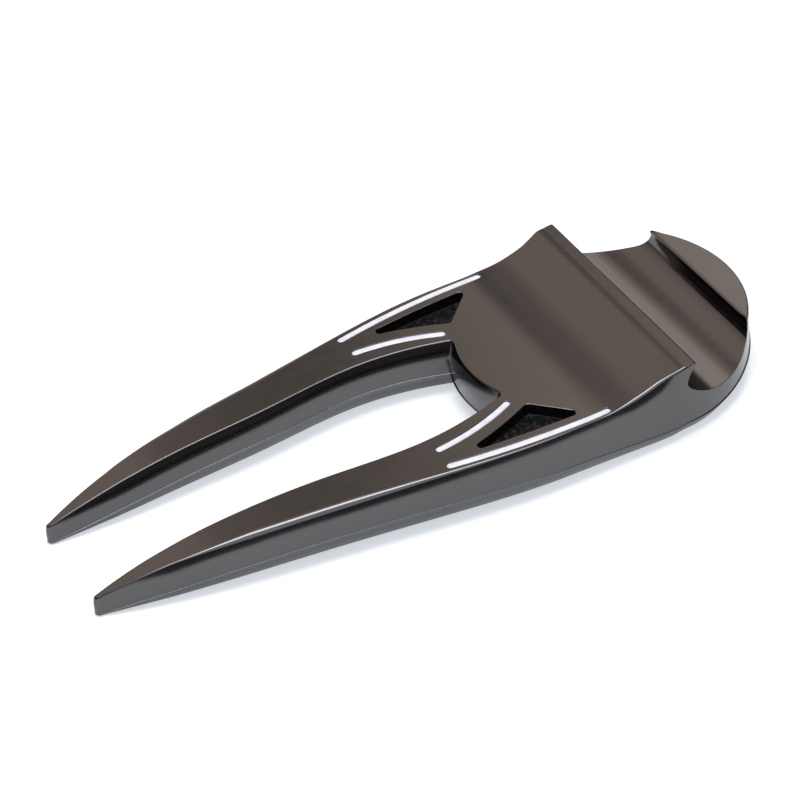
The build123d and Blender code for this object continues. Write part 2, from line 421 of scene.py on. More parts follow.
def leaned_edge(corner, wall_normal, top_normal, radius, share):
    """A rounded edge below which the wall leans in, by a share of the full lean: points and normals."""
    dot = np.sum(top_normal * wall_normal, axis=1, keepdims=True)
    rise = np.array([0, 0, 1.0])
    inward = unit(dot * top_normal - wall_normal)
    places, tilts = [np.zeros_like(corner)], []
    for part in np.linspace(0, 1, LEAN_STEPS + 1):
        tilts.append(LEAN * share[:, None] * (1 - part**LEAN_EASE))
        if part > 0:
            slope = np.tan((tilts[-1] + tilts[-2]) / 2)
            step = (wall_normal * slope - rise) * share[:, None] * LEAN_DEPTH / LEAN_STEPS
            places.append(places[-1] + step)
    leaned = wall_normal * np.cos(tilts[0]) + rise * np.sin(tilts[0])
    reach = radius[:, None] * np.tan(np.arccos(np.sum(leaned * top_normal, axis=1, keepdims=True)) / 2)
    drawn_in = reach * np.sin(tilts[0]) + np.sum(places[-1] * wall_normal, axis=1, keepdims=True)
    round_rows = rounded_edge(corner + inward * drawn_in, leaned, top_normal, radius)
    rows = []
    for place, tilt in zip(places[:0:-1], tilts[:0:-1]):
        rows.append((round_rows[0][0] + place, wall_normal * np.cos(tilt) + rise * np.sin(tilt)))
    return rows + round_rows


# ---- the fork's section and outline ---------------------------------------------------
top_height = cubic(TOP_LINE, TOP_SLOPES)


def make_section():
    """The top surface seen from the side, from the tips to the head end: points, ways, normals."""
    stations = np.concatenate([np.arange(-1, 8, 0.4), np.arange(8, TOP_LINE[-1][0], 0.8), [TOP_LINE[-1][0]]])
    top = np.column_stack([stations, top_height(stations)])
    turn = np.linspace(0, RISE_ANGLE, 18)[1:]
    foot = top[-1]
    rise = foot + RISE_RADIUS * np.column_stack([np.sin(turn), 1 - np.cos(turn)])
    slope = np.linspace(rise[-1], CREST, 12)
    crest = np.linspace(CREST, LIP, 12)
    lip = np.linspace(LIP, LIP_FACE, 10)
    hook = arc_through(LIP_FACE, HOOK_MIDDLE, HOOK_FOOT, step=0.06)
    heel = np.linspace(HOOK_FOOT, FLOOR_START, 5)
    floor = arc_through(FLOOR_START, FLOOR_LOW, FLOOR_END, step=0.25)
    far_middle = (np.array(FLOOR_END) + FAR_WALL) / 2 + FAR_WALL_BOW
    far = arc_through(FLOOR_END, far_middle, FAR_WALL, step=0.15)
    over = arc_through(FAR_WALL, FAR_LIP, HALF_MOON, step=0.12)
    moon = np.column_stack([np.linspace(HALF_MOON[0], HEAD_END + 1, 9), np.full(9, HALF_MOON[1])])
    runs = [top, np.vstack([foot, rise]), slope, crest, lip, hook, heel, floor, far, over, moon]
    radii = [0, 0, CREST_ROUND, LIP_ROUND, LIP_FACE_ROUND, HEEL_ROUND, HEEL_ROUND, 0, 0, HALF_MOON_ROUND]
    points = joined(runs, radii)
    ways = tangents(points)
    normals = np.column_stack([-ways[:, 1], ways[:, 0]])
    return points, ways, normals


def make_outline():
    """The plan outline as a closed loop from the crotch's middle, by the right prong: points."""
    outer = cubic(OUTER_EDGE, OUTER_SLOPES)
    slot = cubic(SLOT_EDGE, SLOT_SLOPES)
    corner, corner_half = SLOT_EDGE[-1]
    crotch_centre = corner + math.sqrt(CROTCH_RADIUS**2 - corner_half**2)
    sweep = math.asin(corner_half / CROTCH_RADIUS)
    turn = np.linspace(0, sweep, 60)
    crotch = np.column_stack([crotch_centre - CROTCH_RADIUS * np.cos(turn), CROTCH_RADIUS * np.sin(turn)])
    shoulder = OUTER_EDGE[0][0]
    stations = np.linspace(corner, shoulder, 500)
    slot_run = np.column_stack([stations, slot(stations)])
    middle, half = (OUTER_EDGE[0][1] + SLOT_EDGE[0][1]) / 2, (OUTER_EDGE[0][1] - SLOT_EDGE[0][1]) / 2
    turn = np.linspace(-math.pi / 2, math.pi / 2, 25)
    nose = np.column_stack([shoulder - (shoulder + TIP_NOSE) * np.cos(turn), middle + half * np.sin(turn)])
    stations = np.linspace(shoulder, OUTER_EDGE[-1][0], 540)
    outer_run = np.column_stack([stations, outer(stations)])
    cheek_end = HEAD_END - HEAD_RADIUS
    cheek = np.linspace(outer_run[-1], (cheek_end, HEAD_RADIUS), 100)
    turn = np.linspace(0, math.pi / 2, 200)
    head = np.column_stack([cheek_end + HEAD_RADIUS * np.sin(turn), HEAD_RADIUS * np.cos(turn)])
    runs = [crotch, slot_run, nose, outer_run, cheek, head]
    half_loop = joined(runs, [CROTCH_CORNER, 0, SHOULDER_ROUND, 0, 0])
    return np.vstack([half_loop, (half_loop * [1, -1])[-2:0:-1]])


section, section_way, section_normal = make_section()
section_length = lengths(section)
outline = make_outline()
outline_closed = np.vstack([outline, outline[:1]])
outline_length = lengths(outline_closed)
GIRTH = outline_length[-1]
outline_way = tangents(outline, closed=True)
outline_way_closed = np.vstack([outline_way, outline_way[:1]])
NOSE_DISTANCE = outline_length[np.argmin(outline[: len(outline) // 2, 0])]


def along(u):
    """The outline's point and outward normal at a distance along it, in plan."""
    u = np.asarray(u) % GIRTH
    point = np.column_stack([np.interp(u, outline_length, outline_closed[:, i]) for i in (0, 1)])
    way = unit(np.column_stack([np.interp(u, outline_length, outline_way_closed[:, i]) for i in (0, 1)]))
    return point, np.column_stack([-way[:, 1], way[:, 0]]), way


def leaning(u):
    """The share of the full lean that the wall has, at a distance along the outline."""
    u = np.asarray(u) % GIRTH
    station = along(u)[0][:, 0]
    in_slot = np.minimum(u, GIRTH - u) < NOSE_DISTANCE
    slot_share = np.interp(station, *np.array(SLOT_LEAN).T)
    outer_share = np.interp(station, *np.array(OUTER_LEAN).T)
    return np.where(in_slot, slot_share, outer_share)


def swollen(u, height):
    """How far the wall stands outside the outline, from its draft and its swelling."""
    return (DRAFT_SLOPE * (DRAFT_LEVEL - height) + LEAN_SWELL * leaning(u))[:, None]


parting = cubic(PARTING_HEIGHT, PARTING_SLOPES)


def lift(flat, height=0.0):
    """Plan vectors with a height."""
    return np.column_stack([flat, np.broadcast_to(height, len(flat))])


def upright(flat):
    """Section vectors, along and up, as vectors in space."""
    return np.column_stack([flat[:, 0], np.zeros(len(flat)), flat[:, 1]])


def column_places():
    """Distances along the outline for the wall's columns, closer together where it bends."""
    bend = np.arccos(np.clip(np.sum(outline_way * np.roll(outline_way, -1, axis=0), axis=1), -1, 1))
    gap = np.linalg.norm(np.roll(outline, -1, axis=0) - outline, axis=1)
    weight = np.maximum(gap / COLUMN_GAP, bend / COLUMN_TURN)
    share = np.concatenate([[0], np.cumsum(weight)])
    half = share[len(outline) // 2]
    count = math.ceil(half)
    first = np.interp(np.linspace(0, half, count + 1), share, outline_length)
    return np.concatenate([first, GIRTH - first[-2:0:-1]])


def rim_samples(columns):
    """Where the top edge is sampled: distance along the outline, section length, and its radius."""
    station = along(columns)[0][:, 0]
    half = len(columns) // 2
    nose = int(np.argmin(station[:half]))
    crest_index = int(np.argmax(section[:, 1]))
    before, after = GROOVE_STATIONS
    plain = section[: crest_index + 1]
    moon_start = int(np.where(section[:, 1] >= HALF_MOON[1] - 1e-6)[0][-1])
    while section[moon_start - 1, 1] >= HALF_MOON[1] - 1e-6 and section[moon_start - 1, 0] > HALF_MOON[0]:
        moon_start -= 1
    moon = section[moon_start:]
    right = []
    for i in range(half + 1):
        s = station[i]
        if i <= nose:
            right.append((columns[i], np.interp(s, plain[:, 0], section_length[: crest_index + 1]),
                          np.interp(s, *np.array(SLOT_ROUND).T)))
        elif s < before:
            right.append((columns[i], np.interp(s, plain[:, 0], section_length[: crest_index + 1]),
                          np.interp(s, *np.array(OUTER_ROUND).T)))
    outer_u = np.linspace(columns[nose], columns[half], 4000)
    outer_s = along(outer_u)[0][:, 0]
    for k in range(len(section)):
        s, length = section[k, 0], section_length[k]
        if k > crest_index - BEFORE_CREST and before <= s <= after and length > right[-1][1]:
            blend = np.interp(length - section_length[crest_index], GROOVE_BLEND, [0, 1])
            radius = OUTER_ROUND[-1][1] * (1 - blend) + GROOVE_ROUND * blend
            past = max(0.0, length - section_length[moon_start])
            radius += (HALF_MOON_RIM - GROOVE_ROUND) * min(1.0, past / HALF_MOON_BLEND)
            right.append((np.interp(s, outer_s, outer_u), length, radius))
    for i in range(nose, half + 1):
        s = station[i]
        if s > after + 0.1:
            length = np.interp(s, moon[:, 0], section_length[moon_start:])
            right.append((columns[i], length, HALF_MOON_RIM))
    right = np.array(right)
    left = right[-2:0:-1].copy()
    left[:, 0] = GIRTH - left[:, 0]
    return np.vstack([right, left])


def on_section(length):
    """The section's point, way and normal at a distance along it."""
    point = np.column_stack([np.interp(length, section_length, section[:, i]) for i in (0, 1)])
    way = unit(np.column_stack([np.interp(length, section_length, section_way[:, i]) for i in (0, 1)]))
    return point, way, np.column_stack([-way[:, 1], way[:, 0]])


# ---- the fork -------------------------------------------------------------------------
def recess(skin, loop, floor, radius):
    """A steep-sided hole in the top, with a rounded rim: its rim ring and that ring laid flat."""
    into = into_loop(loop)
    length = np.interp(loop[:, 0], section[:, 0], section_length)
    point, _, normal = on_section(length)
    corner = lift(loop, point[:, 1])
    rows = rounded_edge(corner, lift(into), upright(normal), radius, steps=FINE_STEPS)
    ids = [skin.add(*row) for row in rows]
    foot = rows[0][0].copy()
    foot[:, 2] = floor
    skin.strip(skin.add(foot, lift(into)), ids[0])
    skin.rows(ids)
    floor_ids = skin.add(foot, (0, 0, 1))
    skin.patch([floor_ids], [foot[:, :2]], np.zeros((0, 2)), [])
    rim = rows[-1][0]
    flat_length = np.interp(rim[:, 0], section[:, 0], section_length)
    return ids[-1], np.column_stack([flat_length, rim[:, 1]])


def pocket_loop(side):
    """The pocket's outline in plan."""
    apex, inner, outer = [(s, side * half) for s, half in POCKET_CORNERS]
    sides = [(apex, inner), (inner, outer), (outer, apex)]
    runs = [bowed(a, b, side * bow, step=0.4) for (a, b), bow in zip(sides, POCKET_BOWS)]
    middle = len(runs[0]) // 2
    runs = [runs[0][middle:], *runs[1:], runs[0][: middle + 1]]
    return joined(runs, [POCKET_CORNER_ROUND] * 3)[:-1]


def line_loop(ends, side, inset=0.0):
    """The plan outline of an enamel line, drawn in by an inset."""
    start, end = [(s, side * half) for s, half in ends]
    spine = bowed(start, end, side * LINE_BOW, step=0.4)
    way = tangents(spine)
    across = np.column_stack([-way[:, 1], way[:, 0]]) * (LINE_WIDTH / 2 - inset)
    turn = np.linspace(0, math.pi, 13)[1:-1, None]
    cap_end = spine[-1] + np.cos(turn) * across[-1] + np.sin(turn) * way[-1] * (LINE_WIDTH / 2 - inset)
    cap_start = spine[0] - np.cos(turn) * across[0] - np.sin(turn) * way[0] * (LINE_WIDTH / 2 - inset)
    return np.vstack([spine + across, cap_end, (spine - across)[::-1], cap_start])


def fork_top(skin, rim_ids, rim_flat):
    """The top surface with its pockets and enamel slots."""
    rings, flats = [rim_ids], [rim_flat]
    for side in SIDES.values():
        made = [recess(skin, pocket_loop(side), POCKET_FLOOR + POCKET_FILL / 2, POCKET_ROUND)]
        for ends in (OUTER_LINE_ENDS, INNER_LINE_ENDS):
            made.append(recess(skin, line_loop(ends, side), LINE_FLOOR, LINE_ROUND))
        for ring, flat in made:
            rings.append(ring)
            flats.append(flat)
    across = np.arange(-15.6, 15.7, 1.3)
    spare = grid_within(flats, section_length[1:-1], across, FACE_MARGIN)
    point, _, normal = on_section(spare[:, 0])
    places = np.column_stack([point[:, 0], spare[:, 1], point[:, 1]])
    skin.patch(rings, flats, spare, skin.add(places, upright(normal)))


def fork_wall(skin, columns, foot_rows, rim_ids, rim_places):
    """The upright walls between the parting line and the top edge, all the way round."""
    foot_ids, foot_flat = foot_rows
    foot = np.vstack([foot_flat, [GIRTH, foot_flat[0, 1]]])
    rim = np.vstack([rim_places, [GIRTH + rim_places[0, 0], rim_places[0, 1]]])[::-1]
    border_ids = np.concatenate([foot_ids, foot_ids[:1], rim_ids[:1], rim_ids[::-1]])
    flat = np.vstack([foot, rim])
    spare = grid_within([flat], columns[2:-2:2], np.arange(1.0, 9.5, 1.1), FACE_MARGIN)
    point, normal, _ = along(spare[:, 0])
    places = lift(point + normal * swollen(spare[:, 0], spare[:, 1]), spare[:, 1])
    skin.patch([border_ids], [flat], spare, skin.add(places, lift(normal)))


def fork_underside(skin, ring_ids, ring_points):
    """The flat underside, the marker's seat, the magnet's hole and the thumbnail notch."""
    reach = math.sqrt(NOTCH_RADIUS**2 - NOTCH_DROP**2)
    gap = NOTCH_STATION - SEAT_STATION
    meet = (gap**2 + SEAT_RADIUS**2 - reach**2) / (2 * gap * SEAT_RADIUS)
    seat_turn = math.acos(meet)
    meet_y = SEAT_RADIUS * math.sin(seat_turn)
    notch_turn = math.atan2(meet_y, SEAT_STATION + SEAT_RADIUS * meet - NOTCH_STATION)
    seat_angles = np.linspace(seat_turn, 2 * math.pi - seat_turn, 129)
    notch_angles = np.linspace(-notch_turn, notch_turn, 33)
    seat_way = np.column_stack([np.cos(seat_angles), np.sin(seat_angles)])
    notch_way = np.column_stack([np.cos(notch_angles), np.sin(notch_angles)])
    seat_edge = [SEAT_STATION, 0] + SEAT_RADIUS * seat_way
    notch_edge = [NOTCH_STATION, 0] + reach * notch_way
    seat_normal = lift(-seat_way)
    notch_normal = np.column_stack([-notch_way * reach, np.full(len(notch_way), -NOTCH_DROP)]) / NOTCH_RADIUS
    edge = np.vstack([seat_edge, notch_edge[1:-1]])
    wall_normal = np.vstack([seat_normal, notch_normal[1:-1]])
    seat_count = len(seat_edge)
    for i, other in ((0, -2), (seat_count - 1, 1)):
        wall_normal[i] = unit(seat_normal[i if i == 0 else -1] + notch_normal[other])
    down = np.broadcast_to([0, 0, -1.0], wall_normal.shape)
    rows = rounded_edge(lift(edge), down, wall_normal, SEAT_ROUND, steps=FINE_STEPS)
    ids = [skin.add(*row) for row in rows]
    skin.rows(ids)
    hole = rows[0][0][:, :2]
    columns = np.arange(-40, 84, 4.0)
    spare = grid_within([ring_points[:, :2], hole], columns, np.arange(-14, 14.1, 3.5), UNDERSIDE_MARGIN)
    skin.patch([ring_ids, ids[0]], [ring_points[:, :2], hole], spare, skin.add(lift(spare), (0, 0, -1)))

    mouth = rows[-1][0]
    floor_angles = np.concatenate([seat_angles, np.linspace(-seat_turn, seat_turn, 33)[1:-1]])
    floor_way = np.column_stack([np.cos(floor_angles), np.sin(floor_angles)])
    floor_edge = lift([SEAT_STATION, 0] + SEAT_RADIUS * floor_way, SEAT_DEPTH)
    foot = np.vstack([mouth[:seat_count], floor_edge[seat_count:]])
    inner = slice(seat_count, None)
    offset = floor_edge[inner, :2] - [NOTCH_STATION, 0]
    foot[inner, 2] = np.sqrt(np.maximum(NOTCH_RADIUS**2 - np.sum(offset**2, axis=1), 0)) - NOTCH_DROP
    wall_rows = [skin.add(foot, lift(-floor_way)), skin.add(floor_edge, lift(-floor_way))]
    skin.rows(wall_rows)

    arc_outer = np.vstack([mouth[seat_count - 1], mouth[seat_count:], mouth[0]])
    arc_inner = np.vstack([foot[seat_count - 1], foot[inner], foot[0]])
    centre = np.array([NOTCH_STATION, 0, -NOTCH_DROP])
    scoop = []
    for share in np.linspace(0, 1, 9):
        ball = unit(arc_outer * (1 - share) + arc_inner * share - centre)
        places = centre + NOTCH_RADIUS * ball
        if share in (0, 1):
            places = arc_outer if share == 0 else arc_inner
        scoop.append(skin.add(places, -ball))
    skin.rows(scoop, closed=False)

    turn = np.linspace(0, 2 * math.pi, 65)[:-1]
    way = np.column_stack([np.cos(turn), np.sin(turn)])
    hole_edge = lift([SEAT_STATION, 0] + MAGNET_HOLE_RADIUS * way, SEAT_DEPTH)
    hole_top = hole_edge + [0, 0, MAGNET_HOLE_TOP - SEAT_DEPTH]
    down = (0, 0, -1)
    floor_rings = [skin.add(floor_edge, down), skin.add(hole_edge, down)]
    skin.patch(floor_rings, [floor_edge[:, :2], hole_edge[:, :2]], np.zeros((0, 2)), [])
    skin.strip(skin.add(hole_edge, lift(-way)), skin.add(hole_top, lift(-way)))
    skin.patch([skin.add(hole_top, down)], [hole_top[:, :2]], np.zeros((0, 2)), [])


def make_fork():
    skin = Skin()
    columns = column_places()
    samples = rim_samples(columns)
    point, normal, way = along(samples[:, 0])
    on_top, top_way, top_normal = on_section(samples[:, 1])
    corner = lift(point + normal * swollen(samples[:, 0], on_top[:, 1]), on_top[:, 1])
    share = leaning(samples[:, 0])
    rows = leaned_edge(corner, lift(normal), upright(top_normal), samples[:, 2], share)
    rim = [skin.add(*row) for row in rows]
    skin.rows(rim)
    wall_shift = np.sum((rows[0][0] - corner)[:, :2] * way, axis=1)
    wall_places = np.column_stack([samples[:, 0] + wall_shift, rows[0][0][:, 2]])
    top_shift = np.sum((rows[-1][0] - corner) * upright(top_way), axis=1)
    top_flat = np.column_stack([samples[:, 1] + top_shift, rows[-1][0][:, 1]])
    fork_top(skin, rim[-1], top_flat)

    point, normal, _ = along(columns)
    height = parting(point[:, 0])
    draft = swollen(columns, height)[:, 0]
    bead_scale = np.minimum(1, height)[:, None]
    belt_ids = []
    for out, up, tilt in BEAD:
        places = lift(point + normal * (draft[:, None] + out * bead_scale), height + up * bead_scale[:, 0])
        turn = math.radians(tilt)
        belt_ids.append(skin.add(places, lift(normal * math.cos(turn), math.sin(turn))))
    belt_flat = np.column_stack([columns, skin.points[belt_ids[0]][:, 2]])
    band_normal = unit(lift(normal, -BAND_SLOPE))
    foot = lift(point + normal * (draft - BAND_SLOPE * height)[:, None])
    down = np.broadcast_to([0, 0, -1.0], foot.shape)
    foot_round = np.minimum(FOOT_ROUND, FOOT_ROUND_SHARE * height)
    foot_rows = rounded_edge(foot, band_normal, down, foot_round, steps=FINE_STEPS)
    foot_ids = [skin.add(*row) for row in foot_rows]
    skin.rows(belt_ids + foot_ids)
    fork_wall(skin, columns, (belt_ids[0], belt_flat), rim[0], wall_places)
    fork_underside(skin, foot_ids[-1], foot_rows[-1][0])
    return skin.piece("fork_casting")


# ---- enamel, magnet and marker --------------------------------------------------------
def enamel_piece(name, ends, side):
    """White enamel filled by hand into a slot: a low dome with a slightly uneven edge."""
    skin = Skin()
    phase = side * ends[0][1]
    rows = []
    for inset, tilt, rise in ENAMEL_DOME:
        loop = line_loop(ends, side)
        outward = -into_loop(loop)
        run = lengths(loop)
        (long_edge, long_turns), (short_edge, short_turns) = RAGGED
        ragged = long_edge * np.sin(long_turns * run + phase)
        ragged = ragged + short_edge * np.sin(short_turns * run + 2 * phase)
        inner = loop - outward * (inset + ragged * (inset > 0) * (inset < RAGGED_WITHIN))[:, None]
        along_line = loop[:, 0]
        (long_swell, long_turns), (short_swell, short_turns) = SWELL
        swell = long_swell * np.sin(long_turns * along_line + phase)
        swell = swell + short_swell * np.sin(short_turns * along_line - phase)
        height = top_height(along_line) + rise + swell * (inset > SWELL_PAST)
        rows.append(skin.add(lift(inner, height), lift(outward * tilt, 1.0)))
    foot = skin.points[rows[0]].copy()
    foot[:, 2] = LINE_FLOOR
    skin.strip(skin.add(foot, lift(outward)), skin.add(skin.points[rows[0]], lift(outward)))
    skin.rows(rows)
    skin.patch([rows[-1]], [skin.points[rows[-1]][:, :2]], np.zeros((0, 2)), [])
    skin.patch([skin.add(foot, (0, 0, -1))], [foot[:, :2]], np.zeros((0, 2)), [])
    return skin.piece(name)


def pocket_piece(name, side, dice):
    """Black enamel in a pocket's floor, pooled up its sides and left coarse."""
    skin = Skin()
    loop = pocket_loop(side)
    into = into_loop(loop)
    level = POCKET_FLOOR + POCKET_FILL
    rows = []
    for inset, rise, tilt in POOL_EDGE:
        rows.append(skin.add(lift(loop + into * inset, level + rise), lift(into * tilt, 1.0)))
    foot = lift(loop, POCKET_FLOOR)
    skin.strip(skin.add(foot, lift(-into)), skin.add(skin.points[rows[0]], lift(-into)))
    skin.rows(rows)
    ring = skin.points[rows[-1]][:, :2]
    low, high = ring.min(axis=0), ring.max(axis=0)
    grains = [np.arange(low[i], high[i], GRAIN) for i in (0, 1)]
    spare = grid_within([ring], *grains, POOL_MARGIN)
    spare += dice.uniform(-GRAIN_STRAY, GRAIN_STRAY, spare.shape) * GRAIN
    height = level + dice.uniform(-1, 1, len(spare)) * GRAIN_HEIGHT
    tilt = dice.uniform(-GRAIN_TILT, GRAIN_TILT, (len(spare), 2))
    skin.patch([rows[-1]], [ring], spare, skin.add(lift(spare, height), lift(tilt, 1.0)))
    skin.patch([skin.add(foot, (0, 0, -1))], [foot[:, :2]], np.zeros((0, 2)), [])
    return skin.piece(name)


def turned(name, corners, radii, segments=128):
    """A round piece about the seat's axis, from the corners of half its section."""
    runs = [np.linspace(a, b, 6) for a, b in zip(corners, corners[1:])]
    line = joined(runs, radii)
    way = tangents(line)
    turn = np.linspace(0, 2 * math.pi, segments + 1)[:-1]
    ring = np.column_stack([np.cos(turn), np.sin(turn)])
    skin = Skin()
    rows = []
    for (radius, height), (along_way, up_way) in zip(line, way):
        places = lift([SEAT_STATION, 0] + ring * radius, height)
        rows.append(skin.add(places, lift(ring * up_way, -along_way)))
    skin.rows(rows)
    return skin.piece(name)


def place(piece, body, node, slot_name, finish):
    """Puts a piece on its body in place of its CAD node, with its finish."""
    piece.data.materials.append(finish)
    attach(piece, body)
    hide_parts(node)


# ---- materials ------------------------------------------------------------------------
NICKEL = (0.104, 0.1035, 0.106)
NICKEL_WORN = (0.11, 0.108, 0.109)
ENAMEL_WHITE = (0.8, 0.84, 0.91)
ENAMEL_THIN = (0.66, 0.7, 0.79)
BLACK = (0.006, 0.006, 0.007)
BLACK_DEEP = (0.005, 0.005, 0.006)
BLACK_DUSTY = (0.02, 0.019, 0.018)
BRIGHT = (0.55, 0.53, 0.5)
BRIGHT_DULLED = (0.42, 0.4, 0.375)


class Finish:
    """A procedural material, built node by node."""

    def __init__(self, name, colour, metallic=0.0, roughness=0.4, coat=0.0):
        self.material = bpy.data.materials.new(name)
        self.material.use_nodes = True
        self.material.diffuse_color = (*colour, 1)
        self.nodes = self.material.node_tree.nodes
        self.shader = self.nodes["Principled BSDF"]
        self.shader.inputs["Base Color"].default_value = (*colour, 1)
        self.shader.inputs["Metallic"].default_value = metallic
        self.shader.inputs["Roughness"].default_value = roughness
        self.shader.inputs["Coat Weight"].default_value = coat
        self.spots = self.node("ShaderNodeTexCoord").outputs["Object"]

    def node(self, kind, **settings):
        made = self.nodes.new(kind)
        for name, value in settings.items():
            setattr(made, name, value)
        return made

    def link(self, output, target):
        self.material.node_tree.links.new(output, target)

    def noise(self, size, detail=3.0, stretch=(1, 1, 1)):
        """Noise with features of about a size in metres, drawn out along the axes by stretch."""
        scaled = self.node("ShaderNodeMapping")
        scaled.inputs["Scale"].default_value = [1 / (size * s) for s in stretch]
        self.link(self.spots, scaled.inputs["Vector"])
        made = self.node("ShaderNodeTexNoise")
        made.inputs["Scale"].default_value = 1
        made.inputs["Detail"].default_value = detail
        self.link(scaled.outputs["Vector"], made.inputs["Vector"])
        return made.outputs["Fac"]

    def spread(self, value, low, high, start=0.3, end=0.7):
        """A value from start to end, spread over low to high."""
        made = self.node("ShaderNodeMapRange")
        for name, number in (("From Min", start), ("From Max", end), ("To Min", low), ("To Max", high)):
            made.inputs[name].default_value = number
        self.link(value, made.inputs["Value"])
        return made.outputs["Result"]

    def mix(self, share, colour_a, colour_b):
        made = self.node("ShaderNodeMix", data_type="RGBA")
        self.link(share, made.inputs["Factor"])
        for socket, colour in ((made.inputs[6], colour_a), (made.inputs[7], colour_b)):
            if isinstance(colour, tuple):
                socket.default_value = (*colour, 1)
            else:
                self.link(colour, socket)
        return made.outputs[2]

    def bump(self, height, depth, after=None):
        """Relief of a depth in metres."""
        made = self.node("ShaderNodeBump")
        made.inputs["Strength"].default_value = 1.0
        made.inputs["Distance"].default_value = depth
        self.link(height, made.inputs["Height"])
        if after is not None:
            self.link(after, made.inputs["Normal"])
        return made.outputs["Normal"]


def black_nickel(name):
    """Polished black nickel over a zinc casting: faintly uneven, with fine rubbing marks along it."""
    finish = Finish(name, NICKEL, metallic=1.0, roughness=0.16)
    patches = finish.spread(finish.noise(0.012, 2), 0, 1)
    finish.link(finish.mix(patches, NICKEL, NICKEL_WORN), finish.shader.inputs["Base Color"])
    rubbed = finish.noise(0.0009, 4, stretch=(2, 1, 1))
    finish.link(finish.spread(rubbed, 0.15, 0.185), finish.shader.inputs["Roughness"])
    wavy = finish.bump(finish.noise(0.006, 1), 0.00002)
    grain = finish.bump(finish.noise(0.00035, 3), 0.0000012, after=wavy)
    finish.link(grain, finish.shader.inputs["Normal"])
    return finish.material


def white_enamel(name):
    """Glossy white enamel, its tone a little uneven where it lies thin."""
    finish = Finish(name, ENAMEL_WHITE, roughness=0.22, coat=0.3)
    thin = finish.spread(finish.noise(0.0012, 3), 0, 1, 0.35, 0.75)
    finish.link(finish.mix(thin, ENAMEL_WHITE, ENAMEL_THIN), finish.shader.inputs["Base Color"])
    finish.link(finish.bump(finish.noise(0.0009, 2), 0.00002), finish.shader.inputs["Normal"])
    return finish.material


def black_enamel(name):
    """Black enamel left rough in a pocket's floor."""
    finish = Finish(name, BLACK, roughness=0.42)
    finish.shader.inputs["Specular IOR Level"].default_value = 0.12
    specks = finish.noise(0.00025, 2)
    finish.link(finish.spread(specks, 0.25, 0.6), finish.shader.inputs["Roughness"])
    tone = finish.spread(finish.noise(0.0004, 2), 0, 1, 0.5, 0.8)
    finish.link(finish.mix(tone, BLACK_DEEP, BLACK_DUSTY), finish.shader.inputs["Base Color"])
    finish.link(finish.bump(specks, 0.00006), finish.shader.inputs["Normal"])
    return finish.material


def bright_nickel(name):
    """Bright nickel on the magnet, scuffed by the marker."""
    finish = Finish(name, BRIGHT, metallic=1.0, roughness=0.22)
    scuffs = finish.noise(0.0005, 4, stretch=(1, 12, 1))
    finish.link(finish.spread(scuffs, 0.16, 0.4), finish.shader.inputs["Roughness"])
    tone = finish.spread(finish.noise(0.004, 2), 0, 1)
    finish.link(finish.mix(tone, BRIGHT, BRIGHT_DULLED), finish.shader.inputs["Base Color"])
    finish.link(finish.bump(finish.noise(0.0008, 3), 0.000006), finish.shader.inputs["Normal"])
    return finish.material


# ---- the pieces -----------------------------------------------------------------------
nickel = black_nickel("black_nickel")
enamel = white_enamel("white_enamel")
place(make_fork(), "root", "fork", "black_nickel", nickel)
dice = np.random.default_rng(7)
for side_name, side in SIDES.items():
    for line_name, ends in (("outer", OUTER_LINE_ENDS), ("inner", INNER_LINE_ENDS)):
        node = f"{side_name}_{line_name}_line"
        place(enamel_piece(f"{node}_enamel", ends, side), "root", node, "white_enamel", enamel)
    node = f"{side_name}_pocket_fill"
    pool = pocket_piece(f"{node}_enamel", side, dice)
    place(pool, "root", node, "black_enamel", black_enamel(f"{side_name}_black_enamel"))

magnet_section = [(0, SEAT_DEPTH), (MAGNET_RADIUS, SEAT_DEPTH), (MAGNET_RADIUS, MAGNET_TOP), (0, MAGNET_TOP)]
magnet = turned("magnet_disc", magnet_section, MAGNET_ROUNDS)
place(magnet, "root", "magnet", "magnet_nickel", bright_nickel("magnet_nickel"))

recess_radius = MARKER_RADIUS - MARKER_RIM
recess_height = MARKER_LOW + MARKER_RECESS
marker_section = [(0, recess_height), (recess_radius, recess_height), (recess_radius, MARKER_LOW),
                  (MARKER_RADIUS, MARKER_LOW), (MARKER_RADIUS, MARKER_TOP), (0, MARKER_TOP)]
marker = turned("marker_disc", marker_section, MARKER_ROUNDS)
place(marker, "marker", "ball_marker", "marker_nickel", black_nickel("marker_nickel"))
enamel_low = MARKER_LOW + FACE_SINK
face_section = [(0, enamel_low - FACE_CROWN),
                (recess_radius - FACE_SHOULDER, enamel_low - FACE_SHOULDER_RISE),
                (recess_radius, enamel_low + FACE_DROP), (recess_radius, recess_height), (0, recess_height)]
face = turned("marker_enamel_face", face_section, FACE_ROUNDS)
place(face, "marker", "marker_enamel", "marker_enamel", white_enamel("marker_enamel"))

# ---- floor, light and camera ----------------------------------------------------------
# The floor is a pale sheet lit faintly from below, so that the tool hardly casts a shadow.
FLOOR_HALF = 3.0
FLOOR_GAP = 0.00002
PAPER = (0.62, 0.62, 0.625)
PAPER_GLOW = (0.9, 0.95, 1.0)
GLOW_STRENGTH = 0.56
SOFTBOX_CENTRE = (0.0, 0.0, 0.5)
SOFTBOX_SIZE = (0.36, 0.18)
SOFTBOX_POWER = 1.5

